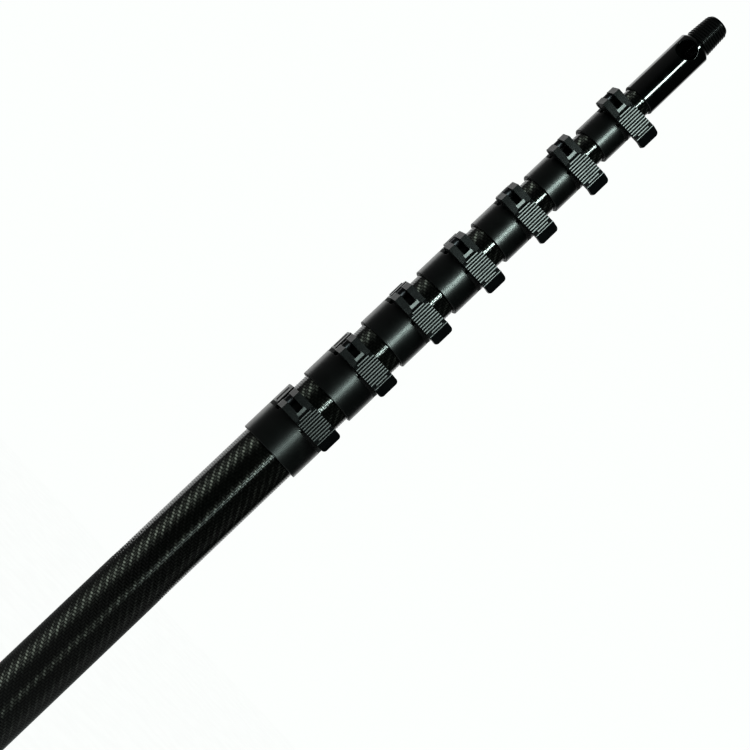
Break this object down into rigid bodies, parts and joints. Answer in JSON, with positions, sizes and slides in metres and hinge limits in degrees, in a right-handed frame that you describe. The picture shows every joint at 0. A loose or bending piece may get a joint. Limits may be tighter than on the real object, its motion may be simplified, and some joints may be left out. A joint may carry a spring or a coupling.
{
  "type": "boom pole",
  "caption": "Collapsed telescopic boom pole of nested carbon tubes with flip-lever clamps, a hollow tip ferrule with a side cable exit and a tapered threaded nose.",
  "frame": {"origin": "centre of the butt end face of the collapsed pole", "axes": "+Z along the pole towards the threaded tip, -Y towards the side the clamp levers sit on, +X towards the levers' free ends"},
  "size_m": [0.0484, 0.0532, 0.8988],
  "materials": {
    "carbon": "clear-coated twill carbon fibre",
    "clamp_black": "satin moulded glass-filled nylon",
    "lever_black": "satin moulded glass-filled nylon",
    "steel": "black oxide, machined",
    "nylon": "plain",
    "tip_black": "gloss black anodised",
    "rubber": "matte"
  },
  "bodies": {
    "base": {"tube_1": "carbon", "butt_cap": "rubber", "clamp_body_1": "clamp_black", "eyebolt_1": "steel", "slit_seal_1": "rubber", "pivot_pin_1": "steel"},
    "lever_1_body": {"lever_1": "lever_black"},
    "section_2": {"tube_2": "carbon", "guide_plug_2": "nylon", "stop_ring_2": "nylon", "clamp_body_2": "clamp_black", "eyebolt_2": "steel", "slit_seal_2": "rubber", "pivot_pin_2": "steel"},
    "lever_2_body": {"lever_2": "lever_black"},
    "section_3": {"tube_3": "carbon", "guide_plug_3": "nylon", "stop_ring_3": "nylon", "clamp_body_3": "clamp_black", "eyebolt_3": "steel", "slit_seal_3": "rubber", "pivot_pin_3": "steel"},
    "lever_3_body": {"lever_3": "lever_black"},
    "section_4": {"tube_4": "carbon", "guide_plug_4": "nylon", "stop_ring_4": "nylon", "clamp_body_4": "clamp_black", "eyebolt_4": "steel", "slit_seal_4": "rubber", "pivot_pin_4": "steel"},
    "lever_4_body": {"lever_4": "lever_black"},
    "section_5": {"tube_5": "carbon", "guide_plug_5": "nylon", "stop_ring_5": "nylon", "clamp_body_5": "clamp_black", "eyebolt_5": "steel", "slit_seal_5": "rubber", "pivot_pin_5": "steel"},
    "lever_5_body": {"lever_5": "lever_black"},
    "section_6": {"tube_6": "carbon", "guide_plug_6": "nylon", "stop_ring_6": "nylon", "clamp_body_6": "clamp_black", "eyebolt_6": "steel", "slit_seal_6": "rubber", "pivot_pin_6": "steel"},
    "lever_6_body": {"lever_6": "lever_black"},
    "section_7": {"tube_7": "carbon", "guide_plug_7": "nylon", "stop_ring_7": "nylon", "clamp_body_7": "clamp_black", "eyebolt_7": "steel", "slit_seal_7": "rubber", "pivot_pin_7": "steel"},
    "lever_7_body": {"lever_7": "lever_black"},
    "section_8": {"tube_8": "carbon", "guide_plug_8": "nylon", "stop_ring_8": "nylon", "tip_ferrule": "tip_black", "tip_nose": "tip_black"}
  },
  "joints": [
    {"name": "lever_1_swing", "type": "hinge", "parent": "base", "child": "lever_1_body", "pos_m": [-0.015, -0.0221, 0.512], "axis": [0, 0, -1], "range_deg": [0, 105]},
    {"name": "section_2_slide", "type": "slide", "parent": "base", "child": "section_2", "axis": [0, 0, 1], "range_m": [0, 0.3943]},
    {"name": "lever_2_swing", "type": "hinge", "parent": "section_2", "child": "lever_2_body", "pos_m": [-0.015, -0.0206, 0.5631], "axis": [0, 0, -1], "range_deg": [0, 105]},
    {"name": "section_3_slide", "type": "slide", "parent": "section_2", "child": "section_3", "axis": [0, 0, 1], "range_m": [0, 0.42755]},
    {"name": "lever_3_swing", "type": "hinge", "parent": "section_3", "child": "lever_3_body", "pos_m": [-0.015, -0.0191, 0.6126], "axis": [0, 0, -1], "range_deg": [0, 105]},
    {"name": "section_4_slide", "type": "slide", "parent": "section_3", "child": "section_4", "axis": [0, 0, 1], "range_m": [0, 0.4592]},
    {"name": "lever_4_swing", "type": "hinge", "parent": "section_4", "child": "lever_4_body", "pos_m": [-0.015, -0.0176, 0.66137], "axis": [0, 0, -1], "range_deg": [0, 105]},
    {"name": "section_5_slide", "type": "slide", "parent": "section_4", "child": "section_5", "axis": [0, 0, 1], "range_m": [0, 0.49012]},
    {"name": "lever_5_swing", "type": "hinge", "parent": "section_5", "child": "lever_5_body", "pos_m": [-0.015, -0.0161, 0.70944], "axis": [0, 0, -1], "range_deg": [0, 105]},
    {"name": "section_6_slide", "type": "slide", "parent": "section_5", "child": "section_6", "axis": [0, 0, 1], "range_m": [0, 0.52034]},
    {"name": "lever_6_swing", "type": "hinge", "parent": "section_6", "child": "lever_6_body", "pos_m": [-0.015, -0.0146, 0.75681], "axis": [0, 0, -1], "range_deg": [0, 105]},
    {"name": "section_7_slide", "type": "slide", "parent": "section_6", "child": "section_7", "axis": [0, 0, 1], "range_m": [0, 0.54986]},
    {"name": "lever_7_swing", "type": "hinge", "parent": "section_7", "child": "lever_7_body", "pos_m": [-0.015, -0.0131, 0.80348], "axis": [0, 0, -1], "range_deg": [0, 105]},
    {"name": "section_8_slide", "type": "slide", "parent": "section_7", "child": "section_8", "axis": [0, 0, 1], "range_m": [0, 0.57868]}
  ]
}
